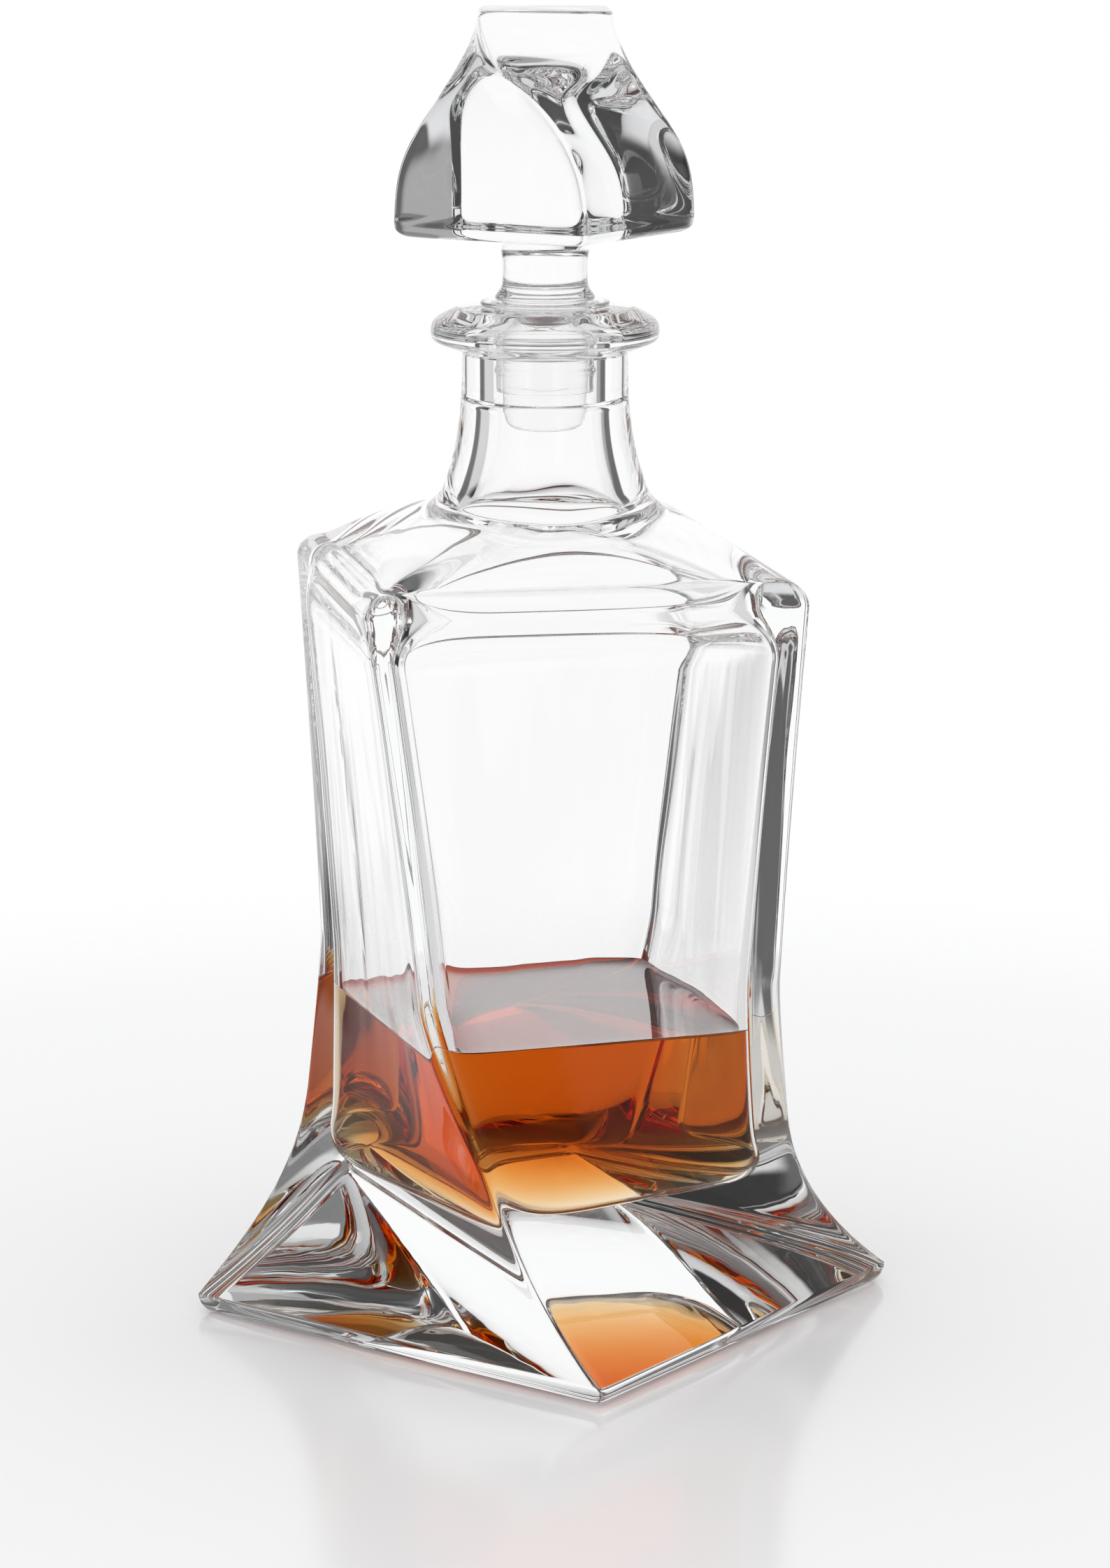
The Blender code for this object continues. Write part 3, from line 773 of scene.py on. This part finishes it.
def finish_wet_faces(piece, finish, is_wet):
    """Where drink and glass touch, the glass bends light from glass to drink and the drink bends none."""
    piece.data.materials.append(finish)
    for face in piece.data.polygons:
        if is_wet(face):
            face.material_index = len(piece.data.materials) - 1


def add_pieces():
    dry_glass = clear_glass("clear_glass", GLASS_INDEX, *BODY_WAVES)
    body = loft("glass_body", body_stations(), RING_POINTS, BODY_CORNER_GATHER, dry_glass)
    wet_glass = clear_glass("wet_glass", GLASS_INDEX / SPIRIT_INDEX, *BODY_WAVES)
    finish_wet_faces(body, wet_glass, is_wet_glass)
    open_surface = amber_spirit("amber_surface", SPIRIT_INDEX, 1.0)
    fill = loft("amber_drink", fill_stations(), RING_POINTS, DRINK_CORNER_GATHER, open_surface)
    at_glass = amber_spirit("amber_at_glass", 1.0, 0.0)
    finish_wet_faces(fill, at_glass, is_drink_at_glass)
    stopper_glass = clear_glass("stopper_glass", GLASS_INDEX, *STOPPER_WAVES)
    stopper = loft("glass_stopper", stopper_stations(), RING_POINTS, STOPPER_CORNER_GATHER, stopper_glass)
    seal = loft("clear_sleeve", seal_stations(), SLEEVE_RING_POINTS, 0.0, clear_polymer())
    for piece, node, body_name, slot in (
        (body, "decanter_body", "decanter", "clear_glass"),
        (fill, "spirit_fill", "decanter", "amber_spirit"),
        (stopper, "stopper", "stopper", "stopper_glass"),
        (seal, "stopper_seal", "sleeve", "clear_polymer"),
    ):
        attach(piece, body_name)
        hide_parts(node)


def add_camera():
    azimuth = math.radians(CAMERA_AZIMUTH_DEG)
    lens = bpy.data.cameras.new("photo_camera")
    lens.sensor_fit = "VERTICAL"
    lens.sensor_height = SENSOR_HEIGHT
    lens.lens = FOCAL_PIXELS / IMAGE_HEIGHT * SENSOR_HEIGHT
    lens.shift_x = (IMAGE_WIDTH / 2.0 - AXIS_PIXEL_X) / IMAGE_HEIGHT
    camera = bpy.data.objects.new("photo_camera", lens)
    camera.location = (CAMERA_REACH * math.sin(azimuth), -CAMERA_REACH * math.cos(azimuth), CAMERA_HEIGHT)
    camera.rotation_euler = (math.radians(90.0 - CAMERA_PITCH_DEG), 0.0, azimuth)
    bpy.context.scene.collection.objects.link(camera)
    bpy.context.scene.camera = camera


def add_floor():
    """Glossy white table top, which fades out towards its rim so that it has no edge."""
    mesh = bpy.data.meshes.new("table_top")
    laps = [math.tau * step / TABLE_SIDES for step in range(TABLE_SIDES)]
    rim = [(TABLE_RADIUS * math.cos(lap), TABLE_RADIUS * math.sin(lap), 0.0) for lap in laps]
    mesh.from_pydata(rim, [], [list(range(TABLE_SIDES))])
    floor = bpy.data.objects.new("table_top", mesh)
    floor.location.z = -TABLE_GAP
    bpy.context.scene.collection.objects.link(floor)
    material, tree, shader = principled("white_table")
    shader.inputs["Base Color"].default_value = (*TABLE_COLOUR, 1.0)
    shader.inputs["Roughness"].default_value = TABLE_ROUGHNESS
    shader.inputs["Specular IOR Level"].default_value = 0.5
    place = tree.nodes.new("ShaderNodeTexCoord")
    reach = tree.nodes.new("ShaderNodeVectorMath")
    reach.operation = "LENGTH"
    tree.links.new(place.outputs["Object"], reach.inputs[0])
    fade = remap(tree, reach.outputs["Value"], TABLE_FADE_START, TABLE_RADIUS, 0.0, 1.0)
    clear = tree.nodes.new("ShaderNodeBsdfTransparent")
    blend = tree.nodes.new("ShaderNodeMixShader")
    tree.links.new(fade, blend.inputs["Fac"])
    tree.links.new(shader.outputs[0], blend.inputs[1])
    tree.links.new(clear.outputs[0], blend.inputs[2])
    tree.links.new(blend.outputs[0], tree.nodes["Material Output"].inputs["Surface"])
    mesh.materials.append(material)


def add_world():
    """White studio for the glass to mirror: a broad backdrop, dimmer sides and a dark room behind the camera.

    Light that goes straight through the glass meets plain white, as the view beside the glass does.
    """
    world = bpy.data.worlds.new("studio")
    bpy.context.scene.world = world
    world.use_nodes = True
    tree = world.node_tree
    azimuth = math.radians(CAMERA_AZIMUTH_DEG - STUDIO_TURN_DEG)
    direction = tree.nodes.new("ShaderNodeTexCoord").outputs["Generated"]
    ahead = along(tree, direction, (-math.sin(azimuth), math.cos(azimuth), 0.0))
    aside = along(tree, direction, (math.cos(azimuth), math.sin(azimuth), 0.0))
    up = along(tree, direction, (0.0, 0.0, 1.0))
    bearing = calc(tree, "ABSOLUTE", calc(tree, "ARCTAN2", aside, ahead))
    backdrop_edge = (math.radians(BACKDROP_EDGE_DEG), math.radians(BACKDROP_END_DEG))
    side_edge = (math.radians(SIDE_START_DEG), math.radians(SIDE_EDGE_DEG))
    rear_edge = (math.radians(SIDE_END_DEG), math.radians(REAR_EDGE_DEG))
    lower_side = remap(tree, aside, *LEFT_TO_RIGHT, SIDE_LEVEL_LEFT, SIDE_LEVEL_RIGHT)
    upper_side = remap(tree, aside, *LEFT_TO_RIGHT, UPPER_SIDE_LEVEL_LEFT, UPPER_SIDE_LEVEL_RIGHT)
    sides = between(tree, remap(tree, up, *UPPER_SIDE_UP, 0.0, 1.0), lower_side, upper_side)
    gap = between(tree, remap(tree, bearing, *side_edge, 0.0, 1.0), GAP_LEVEL, sides)
    walls = between(tree, remap(tree, bearing, *backdrop_edge, 0.0, 1.0), 1.0, gap)
    room = between(tree, remap(tree, bearing, *rear_edge, 0.0, 1.0), walls, REAR_LEVEL)
    strip_level = remap(tree, calc(tree, "ABSOLUTE", up), *STRIP_END_UP, STRIP_LEVEL, 0.0)
    half_width = math.radians(STRIP_HALF_WIDTH_DEG)
    strip_edge = (STRIP_CORE_SHARE * half_width, half_width)
    for strip_bearing in STRIP_BEARINGS_DEG:
        offset = calc(tree, "ABSOLUTE", calc(tree, "SUBTRACT", bearing, math.radians(strip_bearing)))
        strip = calc(tree, "MULTIPLY", remap(tree, offset, *strip_edge, 1.0, 0.0), strip_level)
        room = calc(tree, "MAXIMUM", room, strip)
    ceiling = remap(tree, ahead, *REAR_TO_AHEAD, TOP_LEVEL_REAR, TOP_LEVEL_AHEAD)
    mirrored = between(tree, remap(tree, up, *CEILING_UP, 0.0, 1.0), room, ceiling)
    path = tree.nodes.new("ShaderNodeLightPath")
    straight = calc(tree, "LESS_THAN", path.outputs["Glossy Depth"], 0.5)
    plain = calc(tree, "MAXIMUM", straight, path.outputs["Is Diffuse Ray"])
    strength = between(tree, plain, mirrored, 1.0)
    back = tree.nodes["Background"]
    back.inputs["Color"].default_value = (1.0, 1.0, 1.0, 1.0)
    tree.links.new(strength, back.inputs["Strength"])


def main():
    add_pieces()
    add_camera()
    add_floor()
    add_world()
    bpy.context.scene.view_settings.view_transform = "Standard"
    light_paths = bpy.context.scene.cycles
    light_paths.max_bounces = GLASS_BOUNCES
    light_paths.transmission_bounces = GLASS_BOUNCES
    light_paths.glossy_bounces = GLASS_BOUNCES


main()
